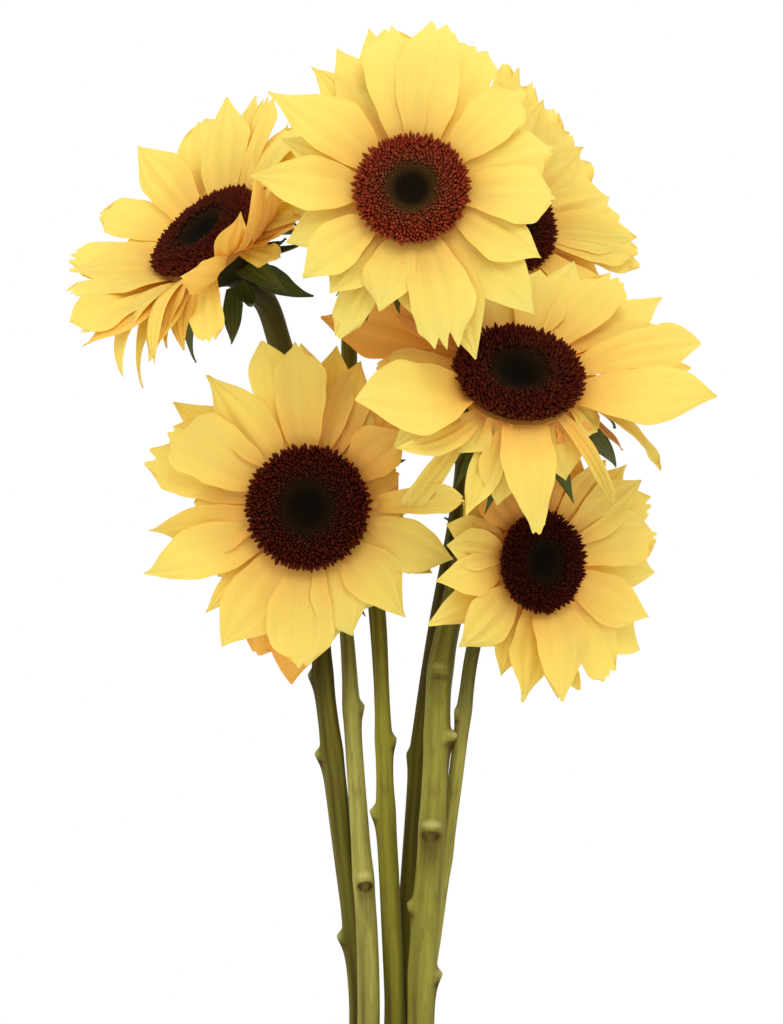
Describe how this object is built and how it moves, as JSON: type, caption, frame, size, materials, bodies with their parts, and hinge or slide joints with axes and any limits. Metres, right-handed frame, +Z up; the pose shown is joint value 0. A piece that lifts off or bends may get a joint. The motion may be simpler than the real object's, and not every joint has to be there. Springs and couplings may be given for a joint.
{
  "type": "sunflowers in a vase",
  "caption": "Bunch of cut sunflowers with dark discs, broad pointed yellow rays and bare ribbed stems, standing in water in a plain clear glass vase.",
  "frame": {"origin": "centre of the vase's flat foot, on the surface that it stands on", "axes": "+Z up along the vase's axis, -Y towards the front of the bunch, +X to the right as seen from the front"},
  "size_m": [0.2719, 0.1733, 0.6691],
  "materials": {
    "glass": "clear polished glass",
    "water": "still clear water",
    "rays": "soft satin petal, orange at its base",
    "disc": "matt velvety florets",
    "green": "satin ribbed stem with fine hairs"
  },
  "bodies": {
    "root": {"vase": "glass", "water": "water", "rays_left": "rays", "disc_left": "disc", "stem_left": "green", "rays_front": "rays", "disc_front": "disc", "stem_front": "green", "rays_top": "rays", "disc_top": "disc", "stem_top": "green", "rays_rear": "rays", "disc_rear": "disc", "stem_rear": "green", "rays_middle": "rays", "disc_middle": "disc", "stem_middle": "green", "rays_low": "rays", "disc_low": "disc", "stem_low": "green"}
  },
  "joints": []
}
